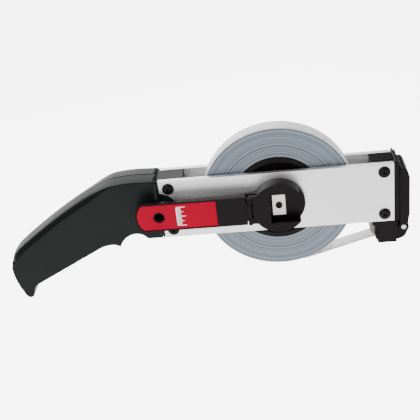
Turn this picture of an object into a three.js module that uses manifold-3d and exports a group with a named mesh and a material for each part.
// Surveyor's tape reel: an open aluminium frame with a moulded handle, a reel of steel tape turned by
// a folding crank, and a nose with a guide roller and a mouth for the tape. Millimetres, +Z up,
// +X towards the nose, -Y towards the crank. The drawing's centre is the reel's axle; the whole model
// is then moved so that its origin is the middle of the hand grip.
import * as THREE from 'three';
import { mergeVertices } from 'three/addons/utils/BufferGeometryUtils.js';
import Module from 'manifold-3d';

const wasm = await Module();
wasm.setup();

// ---- Driving dimensions ------------------------------------------------------------------------
const GAP = 0.3;                  // between pieces that touch
const RUN = 0.15;                 // each side of a piece that turns between two others

// Tape and reel
const TAPE_WIDTH = 13;
const TAPE_THICKNESS = 0.4;
const ROLL_RADIUS = 58.1;
const CORE_RADIUS = 34.2;
const CORE_RIM = 4;
const CORE_SIDE = 0.8;            // how far the core's rim stands past the tape on each side
const WEB_THICKNESS = 3;
const CORE_HUB_RADIUS = 10;
const AXLE_RADIUS = 4;
const BUSH_WALL = 2.7;
const WASHER_THICKNESS = 0.5;
const WASHER_RADIUS = 8.5;
const CAP_RADIUS = 8;
const CAP_THICKNESS = 3;

// Frame
const PLATE_THICKNESS = 4;
const PLATE_HEIGHT = 48.6;
const PLATE_BEHIND = 89.9;        // from the axle to the plates' rear ends
const PLATE_AHEAD = 86.8;         // from the axle to their front ends
const NOTCH_RADIUS = 14;          // finger notch in the near plate, behind the parked knob
const SCREW_HEAD_RADIUS = 4.55;
const SCREW_HEAD_HEIGHT = 1.4;
const SCREW_RADIUS = 2;
const SCREW_GRIP = 3;             // thread in the block behind a plate
const SCREW_INSET = 7.3;          // from a plate's end to its screws
const SCREW_EDGE = 6.6;           // from a plate's long edge to its screws
const SPACER_LENGTH = 18.7;       // between the plates, behind the roll
const NOSE_LENGTH = 16.5;
const NOSE_CAP_THICKNESS = 3.6;
const NOSE_LIP = 1.5;

// Mouth, roller and pull loop
const MOUTH_DEPTH = 18.9;         // below the plates
const MOUTH_BACK = 14.8;          // from the plates' front ends back to the mouth's rear face
const MOUTH_FRONT = 10.4;         // from the plates' front ends forward to its tip
const MOUTH_ROUND = 9.5;
const MOUTH_SHOULDER = 1.7;       // where the block narrows for the loop's legs
const ROLLER_RADIUS = 5.4;
const ROLLER_LENGTH = 13.6;
const ROLLER_PIN_RADIUS = 1.1;
const ROLLER_DROP = 9;            // from the plates' lower edges down to the roller's centre
const LOOP_PIN_RADIUS = 2.1;
const LOOP_PIN_AHEAD = 7;         // from the plates' front ends
const LOOP_PIN_DROP = 6.5;
const LOOP_LEG = 3.4;             // a leg's width across the frame
const LOOP_DEPTH = 7.2;           // the loop's front-to-back size
const LOOP_HEIGHT = 50.4;         // from the pin to the crossbar's top
const LOOP_BAR = 6;

// Handle
const GRIP_HALF_WIDTH = 13.3;
const GRIP_WALL = 3;
const TONGUE_LENGTH = 8.8;
const TONGUE_HALF_HEIGHT = 18;
const COLLAR = 1;
const GRIP_SCREW_RADIUS = 1.5;
const GRIP_SCREW_HEAD = 3;
const GRIP_BOSS_WALL = 2;

// Crank
const HUB_RADIUS = 20;
const HUB_HEIGHT = 11.4;
const CHANNEL_DEPTH = 8;
const CHANNEL_EASE = 0.4;         // at each side of the arm when it lies over the channel
const CHANNEL_END = 1.5;          // from the channel's closed end to the drive block
const DRIVE_BLOCK = [10, 1.7, 17.2];
const HUB_SCREW_RADIUS = 1.5;
const HUB_SCREW_HEAD = 2.6;
const HINGE_CLEAR = 2;            // from the hub's rim to the fold hinge
const HINGE_BARREL = 1.6;
const HINGE_PIN_RADIUS = 0.8;
const HINGE_LUG = 5.6;            // width of each of the hub's two lugs
const APRON_REACH = 3.2;          // the hub's apron behind the hinge, past the hinge's axis
const APRON_CLEAR = 1.8;          // from the arm's back to the apron
const APRON_THICKNESS = 2.4;
const ARM_REACH = 87;             // from the hinge to the arm's tip
const ARM_HALF_WIDTH = 11.8;
const ARM_THICKNESS = 3.7;
const ARM_TIP_RADIUS = 16.4;
const LABEL_LENGTH = 61.3;
const LABEL_BORDER = 1.1;
const LABEL_DEPTH = 0.8;
const LABEL_THICKNESS = 0.4;
const KNOB_INSET = 18.2;          // from the arm's tip to the knob's centre
const KNOB_RADIUS = 9.5;
const KNOB_HEIGHT = 5.1;
const KNOB_WALL = 5;
const RIVET_WALL = 1;

// ---- Places worked out from them ---------------------------------------------------------------
const coreHalf = TAPE_WIDTH / 2 + CORE_SIDE;
const plateInner = coreHalf + WASHER_THICKNESS + 2 * RUN;
const plateOuter = plateInner + PLATE_THICKNESS;
const plateTop = PLATE_HEIGHT / 2;
const blockHalf = plateInner - GAP;
const bushRadius = AXLE_RADIUS + GAP + BUSH_WALL;
const screwZ = plateTop - SCREW_EDGE;
const rearScrewX = -PLATE_BEHIND + SCREW_INSET;
const frontScrewX = PLATE_AHEAD - SCREW_INSET;
const spacerFront = -PLATE_BEHIND + SPACER_LENGTH;
const collarRear = -PLATE_BEHIND - GAP - COLLAR;
const gripFront = collarRear - GAP;
const noseBack = PLATE_AHEAD - NOSE_LENGTH;
const capBack = PLATE_AHEAD + GAP;
const capFront = capBack + NOSE_CAP_THICKNESS;
const mouthTop = -plateTop - GAP;
const mouthBottom = -plateTop - MOUTH_DEPTH;
const mouthBack = PLATE_AHEAD - MOUTH_BACK;
const mouthFront = PLATE_AHEAD + MOUTH_FRONT;
const mouthShoulder = PLATE_AHEAD + MOUTH_SHOULDER;
const roller = new THREE.Vector2(mouthBack + ROLLER_PIN_RADIUS + 0.8, -plateTop - ROLLER_DROP);
const loopPin = new THREE.Vector2(PLATE_AHEAD + LOOP_PIN_AHEAD, -plateTop - LOOP_PIN_DROP);
const loopInner = plateOuter - LOOP_LEG;
const loopBack = capFront + GAP + RUN;
const hubBack = -plateOuter - GAP - RUN;
const hubFace = hubBack - HUB_HEIGHT;
const channelFloor = hubFace + CHANNEL_DEPTH;
const axleNear = channelFloor + GAP;
const capStart = plateOuter + GAP;
const axleFar = capStart + CAP_THICKNESS / 2;
const hingeX = -HUB_RADIUS - HINGE_CLEAR;
const hingeY = hubFace - RUN;
const armFace = hingeY + RUN;
const armBack = armFace + ARM_THICKNESS;
const armRoot = hingeX - HINGE_BARREL - 0.7;
const armTip = hingeX - ARM_REACH;
const knobX = armTip + KNOB_INSET;
const knobStart = armBack + GAP;
const knobEnd = knobStart + KNOB_HEIGHT;
const knobBore = KNOB_RADIUS - KNOB_WALL;
const rivetRadius = knobBore - GAP;

// ---- Shape helpers -----------------------------------------------------------------------------
const SEGMENTS = 32;

// A solid from an outline in X and Z, between two places across the frame.
function slab(shape, yLow, yHigh, curveSegments = 6) {
  const options = { depth: yHigh - yLow, bevelEnabled: false, curveSegments };
  const geometry = new THREE.ExtrudeGeometry(shape, options);
  return solid(geometry.rotateX(Math.PI / 2).translate(0, yHigh, 0));
}

function block(xLow, xHigh, yLow, yHigh, zLow, zHigh) {
  const geometry = new THREE.BoxGeometry(xHigh - xLow, yHigh - yLow, zHigh - zLow);
  return solid(geometry.translate((xLow + xHigh) / 2, (yLow + yHigh) / 2, (zLow + zHigh) / 2));
}

// A round solid about an axis along Y. The profile holds [radius, y] pairs, from low y to high y.
function turned(profile, x = 0, z = 0, segments = SEGMENTS) {
  const points = profile.map(([radius, y]) => new THREE.Vector2(radius, y));
  return solid(new THREE.LatheGeometry(points, segments).translate(x, 0, z));
}

function rod(radius, yLow, yHigh, x = 0, z = 0, segments = 16) {
  return turned([[0, yLow], [radius, yLow], [radius, yHigh], [0, yHigh]], x, z, segments);
}

function ring(inner, outer, yLow, yHigh, x = 0, z = 0, segments = SEGMENTS) {
  const profile = [[inner, yLow], [outer, yLow], [outer, yHigh], [inner, yHigh], [inner, yLow]];
  return turned(profile, x, z, segments);
}

// A rod along Z, for the fold hinge.
function uprightRod(radius, zLow, zHigh, x, y) {
  const geometry = new THREE.CylinderGeometry(radius, radius, zHigh - zLow, 24);
  return solid(geometry.rotateX(Math.PI / 2).translate(x, y, (zLow + zHigh) / 2));
}

function solid(geometry) {
  const bare = geometry.clone();
  bare.deleteAttribute('normal');
  bare.deleteAttribute('uv');
  const merged = mergeVertices(bare, 1e-4);
  const mesh = new wasm.Mesh({
    numProp: 3,
    vertProperties: new Float32Array(merged.attributes.position.array),
    triVerts: new Uint32Array(merged.index.array),
  });
  return new wasm.Manifold(mesh);
}

function joined(...solids) {
  return solids.reduce((sum, next) => sum.add(next));
}

function cut(body, ...tools) {
  return tools.reduce((rest, tool) => rest.subtract(tool), body);
}

const model = new THREE.Group();
const drawing = new THREE.Group();
model.add(drawing);

function piece(name, body, finish) {
  const { vertProperties, triVerts } = body.getMesh();
  const geometry = new THREE.BufferGeometry();
  geometry.setAttribute('position', new THREE.BufferAttribute(new Float32Array(vertProperties), 3));
  geometry.setIndex(new THREE.BufferAttribute(new Uint32Array(triVerts), 1));
  geometry.computeVertexNormals();
  const mesh = new THREE.Mesh(geometry, new THREE.MeshStandardMaterial(finish));
  mesh.name = name;
  drawing.add(mesh);
}

const ALUMINIUM = { color: 0xe2e3e2, roughness: 0.38, metalness: 1 };
const BLACK_PLASTIC = { color: 0x211e1f, roughness: 0.5, metalness: 0 };
const GREEN_PLASTIC = { color: 0x2a302c, roughness: 0.55, metalness: 0 };
const BLACK_STEEL = { color: 0x101010, roughness: 0.4, metalness: 0.8 };
const BRIGHT_STEEL = { color: 0xc9cac8, roughness: 0.3, metalness: 1 };
const BRONZE = { color: 0xa98a55, roughness: 0.45, metalness: 0.9 };
const TAPE_EDGE = { color: 0x8d979f, roughness: 0.5, metalness: 0.5 };
const TAPE_WHITE = { color: 0xf5f3f3, roughness: 0.4, metalness: 0 };
const RED_LABEL = { color: 0xcf0321, roughness: 0.4, metalness: 0 };
const ROLLER_NYLON = { color: 0x968c82, roughness: 0.6, metalness: 0 };

// ---- Frame: side plates, the blocks that join them, and their screws ----------------------------
const screwPlaces = [
  ['rear_upper', rearScrewX, screwZ],
  ['rear_lower', rearScrewX, -screwZ],
  ['front_upper', frontScrewX, screwZ],
  ['front_lower', frontScrewX, -screwZ],
];

function screwHoles() {
  const half = plateOuter + GAP;
  return screwPlaces.map(([, x, z]) => rod(SCREW_RADIUS + GAP, -half, half, x, z));
}

function sidePlate(side) {
  const y = side * (plateInner + plateOuter) / 2;
  const low = y - PLATE_THICKNESS / 2;
  const high = y + PLATE_THICKNESS / 2;
  const sheet = block(-PLATE_BEHIND, PLATE_AHEAD, low, high, -plateTop, plateTop);
  return cut(sheet, rod(bushRadius + GAP, low - 1, high + 1), ...screwHoles());
}

const notch = rod(NOTCH_RADIUS, -plateOuter - 1, -plateInner + 1, knobX, 0, SEGMENTS);
piece('near_side_plate', cut(sidePlate(-1), notch), ALUMINIUM);
piece('far_side_plate', sidePlate(1), ALUMINIUM);

const tongueRear = gripFront - TONGUE_LENGTH;
const rearSpacer = joined(
  block(collarRear, spacerFront, -blockHalf, blockHalf, -plateTop, plateTop),
  block(collarRear, collarRear + COLLAR, -plateOuter, plateOuter, -plateTop, plateTop),
  block(tongueRear, collarRear + COLLAR, -blockHalf, blockHalf, -TONGUE_HALF_HEIGHT, TONGUE_HALF_HEIGHT),
);
piece('rear_spacer', cut(rearSpacer, ...screwHoles()), GREEN_PLASTIC);

const noseBlock = block(noseBack, PLATE_AHEAD, -blockHalf, blockHalf, -plateTop, plateTop);
piece('nose_block', cut(noseBlock, ...screwHoles()), BLACK_PLASTIC);
piece('front_cap', joined(
  block(capBack, capFront, -plateOuter, plateOuter, -plateTop, plateTop),
  block(capBack, capBack + NOSE_CAP_THICKNESS / 2, -plateOuter, plateOuter, 0, plateTop + NOSE_LIP),
), BLACK_PLASTIC);

// A button-head socket screw, its head outside the near plate and its thread in the block behind.
function nearScrew(x, z) {
  const face = -plateOuter - GAP;
  const crown = face - SCREW_HEAD_HEIGHT;
  const profile = [[0, crown], [SCREW_HEAD_RADIUS * 0.6, crown], [SCREW_HEAD_RADIUS, crown + 0.7],
    [SCREW_HEAD_RADIUS, face], [SCREW_RADIUS, face], [SCREW_RADIUS, SCREW_GRIP - blockHalf],
    [0, SCREW_GRIP - blockHalf]];
  const socket = rod(1.45, crown - 1, crown + 0.9, x, z, 6);
  return cut(turned(profile, x, z, 16), socket);
}

for (const [place, x, z] of screwPlaces) {
  piece(`near_screw_${place}`, nearScrew(x, z), BLACK_STEEL);
  piece(`far_screw_${place}`, nearScrew(x, z).mirror([0, 1, 0]), BLACK_STEEL);
}

// ---- Handle: two moulded halves on a tongue of the rear spacer ----------------------------------
// Its side outline: the underside with two finger hollows and a hooked butt, then the curved spine.
function gripOutline() {
  const shape = new THREE.Shape();
  shape.moveTo(0, -plateTop + 0.6);
  shape.lineTo(-10.5, -plateTop + 0.6);
  shape.quadraticCurveTo(-12.2, -23.4, -13.7, -21.6);
  shape.bezierCurveTo(-17.5, -17.6, -28.5, -16.6, -34.8, -29.7);
  shape.bezierCurveTo(-38, -26.6, -44.5, -26.4, -51.5, -30);
  shape.lineTo(-107.5, -59.3);
  shape.bezierCurveTo(-111, -61.2, -111.8, -66, -113.3, -69);
  shape.quadraticCurveTo(-115.8, -72.4, -118.3, -69);
  shape.bezierCurveTo(-121.5, -62, -126, -52, -124.9, -38);
  shape.bezierCurveTo(-124.8, -34.5, -122.5, -31.2, -118.5, -27.3);
  shape.bezierCurveTo(-96.5, -9.7, -72.5, 6.5, -50.5, 18);
  shape.bezierCurveTo(-43.5, 21.6, -37.5, 24.6, -30.5, 25.2);
  shape.bezierCurveTo(-24, 26.1, -17.5, 26.2, -10.5, plateTop + 1.6);
  shape.lineTo(0, plateTop + 1.2);
  return shape;
}

// The room inside, at least a wall's thickness within the outline.
function gripRoom() {
  const corners = [[-13, -15], [-13, 20], [-31, 20], [-50, 13], [-84, -8.5], [-114, -32],
    [-120, -42], [-116, -57.5], [-109, -55], [-53, -26], [-37, -22], [-30.5, -15.5]];
  return new THREE.Shape(corners.map(([x, z]) => new THREE.Vector2(x, z)));
}

const gripScrews = [['front', gripFront - 24, 3], ['middle', gripFront - 70, -16],
  ['rear', gripFront - 111, -46]];
const gripCounterbore = GRIP_HALF_WIDTH - 2.2;
const gripScrewEnd = -GRIP_HALF_WIDTH + 2 * GRIP_WALL;

function wholeGrip() {
  const body = slab(gripOutline(), -GRIP_HALF_WIDTH, GRIP_HALF_WIDTH).translate([gripFront, 0, 0]);
  const inside = GRIP_HALF_WIDTH - GRIP_WALL;
  const bossRadius = GRIP_SCREW_RADIUS + GAP + GRIP_BOSS_WALL;
  const bosses = gripScrews.map(([, x, z]) => rod(bossRadius, -inside, inside, x, z));
  const room = cut(slab(gripRoom(), -inside, inside).translate([gripFront, 0, 0]), ...bosses);
  const pocket = block(tongueRear - GAP, gripFront + 1, -blockHalf - GAP, blockHalf + GAP,
    -TONGUE_HALF_HEIGHT - GAP, TONGUE_HALF_HEIGHT + GAP);
  const holes = gripScrews.flatMap(([, x, z]) => [
    rod(GRIP_SCREW_RADIUS + GAP, gripScrewEnd - GAP, GRIP_HALF_WIDTH + 1, x, z),
    rod(GRIP_SCREW_HEAD + GAP, gripCounterbore, GRIP_HALF_WIDTH + 1, x, z),
  ]);
  return cut(body, room, pocket, ...holes);
}

const grip = wholeGrip();
const seam = GAP / 2;
piece('handle_near_half', cut(grip, block(-400, 100, -seam, 50, -200, 200)), GREEN_PLASTIC);
piece('handle_far_half', cut(grip, block(-400, 100, -50, seam, -200, 200)), GREEN_PLASTIC);
for (const [place, x, z] of gripScrews) {
  const under = gripCounterbore + GAP;
  piece(`handle_screw_${place}`, joined(
    rod(GRIP_SCREW_HEAD, under, GRIP_HALF_WIDTH - GAP, x, z),
    rod(GRIP_SCREW_RADIUS, gripScrewEnd, under + 1, x, z),
  ), BLACK_STEEL);
}

// ---- Reel: axle in two bushes, spoked core, tape -------------------------------------------------
piece('near_axle_bush', ring(AXLE_RADIUS + RUN, bushRadius, -plateOuter, -plateInner), BRONZE);
piece('far_axle_bush', ring(AXLE_RADIUS + RUN, bushRadius, plateInner, plateOuter), BRONZE);
const screwBore = rod(HUB_SCREW_RADIUS + GAP, axleNear - 1, axleNear + 9);
piece('reel_axle', cut(rod(AXLE_RADIUS, axleNear, axleFar, 0, 0, SEGMENTS), screwBore), BRIGHT_STEEL);
const axleBore = AXLE_RADIUS + GAP;
const rimInner = CORE_RADIUS - CORE_RIM;
piece('reel_core', joined(
  ring(rimInner, CORE_RADIUS, -coreHalf, coreHalf, 0, 0, 48),
  ring(axleBore, rimInner + 0.5, -WEB_THICKNESS / 2, WEB_THICKNESS / 2, 0, 0, 48),
  ring(axleBore, CORE_HUB_RADIUS, -coreHalf, coreHalf),
), BLACK_PLASTIC);
const tapeHalf = TAPE_WIDTH / 2;
piece('tape_roll', ring(CORE_RADIUS + GAP, ROLL_RADIUS, -tapeHalf, tapeHalf, 0, 0, 72), TAPE_EDGE);
const washerLow = coreHalf + RUN;
const washerHigh = washerLow + WASHER_THICKNESS;
piece('near_thrust_washer', ring(axleBore, WASHER_RADIUS, -washerHigh, -washerLow), BRIGHT_STEEL);
piece('far_thrust_washer', ring(axleBore, WASHER_RADIUS, washerLow, washerHigh), BRIGHT_STEEL);
const capBore = rod(axleBore, capStart - 1, axleFar + GAP);
piece('axle_cap', cut(rod(CAP_RADIUS, capStart, capStart + CAP_THICKNESS, 0, 0, SEGMENTS), capBore),
  BLACK_PLASTIC);

// ---- Crank: hub with its channel, drive block, folding arm and finger knob ------------------------
const lugTop = ARM_HALF_WIDTH - GAP;
const lugLow = lugTop - HINGE_LUG;
const lugDepth = ARM_THICKNESS - GAP;

function hubLug(zLow, zHigh) {
  return joined(
    uprightRod(HINGE_BARREL, zLow, zHigh, hingeX, hingeY),
    block(hingeX, -HUB_RADIUS * 0.7, hubFace, hubFace + lugDepth, zLow, zHigh),
  );
}

const pinBore = uprightRod(HINGE_PIN_RADIUS + RUN, -ARM_HALF_WIDTH, ARM_HALF_WIDTH, hingeX, hingeY);
const [driveLength, driveThickness, driveHeight] = DRIVE_BLOCK;
const channelHalf = ARM_HALF_WIDTH + CHANNEL_EASE;
const channelEnd = -driveLength / 2 - CHANNEL_END;
const channel = block(channelEnd, HUB_RADIUS + 1, hubFace - 1, channelFloor, -channelHalf, channelHalf);
const hubDisc = ring(axleBore, HUB_RADIUS, hubFace, hubBack, 0, 0, 48);
const apronFace = armBack + APRON_CLEAR;
const apron = block(hingeX - APRON_REACH, -HUB_RADIUS * 0.7, apronFace, apronFace + APRON_THICKNESS,
  -lugTop, lugTop);
piece('crank_hub', cut(joined(hubDisc, apron, hubLug(lugLow, lugTop), hubLug(-lugTop, -lugLow)),
  channel, pinBore), BLACK_PLASTIC);
const driveBack = channelFloor - GAP;
const driveFace = driveBack - driveThickness;
const driveBody = block(-driveLength / 2, driveLength / 2, driveFace, driveBack,
  -driveHeight / 2, driveHeight / 2);
piece('drive_block', cut(driveBody, rod(HUB_SCREW_RADIUS + GAP, driveFace - 1, driveBack + 1)),
  BRIGHT_STEEL);
const hubScrewFace = driveFace - GAP;
const hubScrewEnd = axleNear + 8;
const hubScrewHead = rod(HUB_SCREW_HEAD, hubScrewFace - 1, hubScrewFace);
piece('hub_screw', cut(
  joined(hubScrewHead, rod(HUB_SCREW_RADIUS, hubScrewFace - 0.5, hubScrewEnd)),
  rod(1.2, hubScrewFace - 2, hubScrewFace - 0.3, 0, 0, 6),
), BLACK_STEEL);
piece('fold_hinge_pin', uprightRod(HINGE_PIN_RADIUS, -lugTop, lugTop, hingeX, hingeY), BRIGHT_STEEL);

// A strip with a rounded tip, from its root back to its tip.
function tipOutline(rootX, tipX, halfWidth, tipRadius) {
  const lean = Math.asin(halfWidth / tipRadius);
  const centreX = tipX + tipRadius;
  const shape = new THREE.Shape();
  shape.moveTo(rootX, -halfWidth);
  shape.lineTo(centreX - tipRadius * Math.cos(lean), -halfWidth);
  shape.absarc(centreX, 0, tipRadius, Math.PI + lean, Math.PI - lean, true);
  shape.lineTo(rootX, halfWidth);
  return shape;
}

const labelRoot = armTip + LABEL_BORDER + LABEL_LENGTH;
const armLug = joined(
  uprightRod(HINGE_BARREL, -lugLow + GAP, lugLow - GAP, hingeX, hingeY),
  block(armRoot - 1, hingeX, armFace, armFace + lugDepth, -lugLow + GAP, lugLow - GAP),
);
const armBlank = slab(tipOutline(armRoot, armTip, ARM_HALF_WIDTH, ARM_TIP_RADIUS), armFace, armBack);
const labelPocket = slab(
  tipOutline(labelRoot, armTip + LABEL_BORDER, ARM_HALF_WIDTH - LABEL_BORDER,
    ARM_TIP_RADIUS - LABEL_BORDER),
  armFace - 1, armFace + LABEL_DEPTH);
const rivetHole = rod(knobBore, armFace - 1, armBack + 1, knobX, 0, 32);
piece('crank_arm', cut(joined(armBlank, armLug), labelPocket, rivetHole, pinBore), BLACK_PLASTIC);
const labelInset = LABEL_BORDER + GAP;
const labelFace = armFace + (LABEL_DEPTH - LABEL_THICKNESS) / 4;
const labelSheet = slab(
  tipOutline(labelRoot - GAP, armTip + labelInset, ARM_HALF_WIDTH - labelInset,
    ARM_TIP_RADIUS - labelInset),
  labelFace, labelFace + LABEL_THICKNESS);
piece('arm_label', cut(labelSheet, rivetHole), RED_LABEL);

const rivetHead = 0.8;
const rivetEnd = knobEnd - RUN;
piece('knob_rivet', joined(
  ring(rivetRadius - RIVET_WALL, rivetRadius, armFace + LABEL_DEPTH, rivetEnd, knobX, 0, 32),
  ring(rivetRadius - RIVET_WALL, rivetRadius + 1.4, rivetEnd - rivetHead, rivetEnd, knobX, 0, 32),
), BLACK_STEEL);
piece('finger_knob', cut(
  ring(knobBore, KNOB_RADIUS, knobStart, knobEnd, knobX, 0),
  rod(rivetRadius + 1.4 + GAP, rivetEnd - rivetHead - GAP, knobEnd + 1, knobX, 0, 32),
), BLACK_PLASTIC);

// ---- Nose: mouth block, guide roller, tape lead and pull loop -------------------------------------
// Where a band laid under two round pieces leaves the first and meets the second.
function bandUnder(first, firstRadius, second, secondRadius) {
  const span = second.clone().sub(first);
  const turn = Math.acos((firstRadius - secondRadius) / span.length());
  const slope = Math.atan2(span.x, -span.y) - turn;
  const down = new THREE.Vector2(Math.sin(slope), -Math.cos(slope));
  return [first.clone().addScaledVector(down, firstRadius),
    second.clone().addScaledVector(down, secondRadius)];
}

// The outline of a strip of even thickness along a nearly straight line of points.
function strip(points, thickness) {
  const edge = (side) => points.map((point, i) => {
    const before = points[Math.max(i - 1, 0)];
    const after = points[Math.min(i + 1, points.length - 1)];
    const along = after.clone().sub(before).normalize();
    return new THREE.Vector2(-along.y, along.x).multiplyScalar(side * thickness / 2).add(point);
  });
  return new THREE.Shape([...edge(1), ...edge(-1).reverse()]);
}

const bandGap = GAP + TAPE_THICKNESS / 2;
const rollCentre = new THREE.Vector2(0, 0);
const [leavesRoll, meetsRoller] = bandUnder(rollCentre, ROLL_RADIUS + bandGap,
  roller, ROLLER_RADIUS + bandGap);
const [leavesRoller, meetsPin] = bandUnder(roller, ROLLER_RADIUS + bandGap,
  loopPin, LOOP_PIN_RADIUS + bandGap);
const leadStep = meetsPin.clone().sub(leavesRoller).normalize();
const leadEnd = meetsPin.clone().addScaledVector(leadStep, 2);
piece('tape_lead', slab(strip([leavesRoll, meetsRoller, leavesRoller, leadEnd], TAPE_THICKNESS),
  -tapeHalf, tapeHalf), TAPE_WHITE);

function mouthOutline() {
  const shape = new THREE.Shape();
  const lipBack = mouthBack - 2.2;
  const lipLow = mouthTop - 2.8;
  shape.moveTo(lipBack, mouthTop);
  shape.lineTo(lipBack, lipLow);
  shape.lineTo(mouthBack, lipLow);
  shape.lineTo(mouthBack, mouthBottom + 5.2);
  shape.lineTo(mouthBack + 2.6, mouthBottom);
  shape.lineTo(mouthFront - MOUTH_ROUND, mouthBottom);
  shape.quadraticCurveTo(mouthFront, mouthBottom, mouthFront, mouthBottom + MOUTH_ROUND);
  shape.lineTo(mouthFront, mouthTop - 1);
  shape.lineTo(mouthFront - 1, mouthTop);
  return shape;
}

const rollerHalf = ROLLER_LENGTH / 2;
const rollerRoom = rollerHalf + GAP;
const throatHalf = tapeHalf + 2 * GAP;
const throatHeight = TAPE_THICKNESS + 2;
const throat = slab(
  strip([leavesRoller.clone().addScaledVector(leadStep, -12), leavesRoller,
    leadEnd.clone().addScaledVector(leadStep, 12)], throatHeight),
  -throatHalf, throatHalf);
const rollerBay = joined(
  rod(ROLLER_RADIUS + 2 * GAP, -rollerRoom, rollerRoom, roller.x, roller.y, 32),
  block(mouthBack - 5, roller.x, -rollerRoom, rollerRoom,
    roller.y - ROLLER_RADIUS - bandGap - throatHeight / 2, roller.y + ROLLER_RADIUS + 2 * GAP),
);
const noseSide = loopInner - GAP;
const aheadOfShoulder = (low, high) => block(mouthShoulder, mouthFront + 1, low, high,
  mouthBottom - 1, mouthTop + 1);
const mouthBody = cut(slab(mouthOutline(), -plateOuter, plateOuter), rollerBay, throat,
  aheadOfShoulder(noseSide, plateOuter + 1), aheadOfShoulder(-plateOuter - 1, -noseSide),
  rod(ROLLER_PIN_RADIUS + GAP, -plateOuter - 1, plateOuter + 1, roller.x, roller.y),
  rod(LOOP_PIN_RADIUS + GAP, -plateOuter - 1, plateOuter + 1, loopPin.x, loopPin.y));
piece('mouth_block', mouthBody, BLACK_PLASTIC);
piece('guide_roller', ring(ROLLER_PIN_RADIUS + RUN, ROLLER_RADIUS, -rollerHalf, rollerHalf,
  roller.x, roller.y, 32), ROLLER_NYLON);
piece('roller_pin', rod(ROLLER_PIN_RADIUS, -plateOuter, plateOuter, roller.x, roller.y), BRIGHT_STEEL);
piece('loop_pin', rod(LOOP_PIN_RADIUS, -plateOuter, plateOuter, loopPin.x, loopPin.y), BRIGHT_STEEL);

const loopTop = loopPin.y + LOOP_HEIGHT;
const loopFront = loopBack + LOOP_DEPTH;

function loopOutline() {
  const shape = new THREE.Shape();
  shape.moveTo(loopBack, loopPin.y);
  shape.lineTo(loopBack, loopTop - 1.5);
  shape.quadraticCurveTo(loopBack, loopTop, loopBack + 1.5, loopTop);
  shape.lineTo(loopFront - 4, loopTop);
  shape.quadraticCurveTo(loopFront - 1, loopTop - 2, loopFront, loopTop - 8);
  shape.lineTo(loopFront, loopPin.y + 12);
  shape.lineTo(loopFront - 1.2, loopPin.y + 4);
  shape.lineTo(loopFront - 1.2, loopPin.y);
  return shape;
}

const eyeRadius = LOOP_PIN_RADIUS + 1.9;
piece('pull_loop', cut(
  joined(slab(loopOutline(), -plateOuter, plateOuter),
    rod(eyeRadius, -plateOuter, plateOuter, loopPin.x, loopPin.y, 32)),
  block(loopBack - 5, loopFront + 5, -loopInner, loopInner, loopPin.y - 10, loopTop - LOOP_BAR),
  rod(LOOP_PIN_RADIUS + RUN, -plateOuter - 1, plateOuter + 1, loopPin.x, loopPin.y),
), BLACK_PLASTIC);

// ---- The model's own frame: its origin is in the middle of the hand grip --------------------------
const GRIP_CENTRE = new THREE.Vector3(gripFront - 68.5, 0, -15);
drawing.position.copy(GRIP_CENTRE).negate();

export default model;
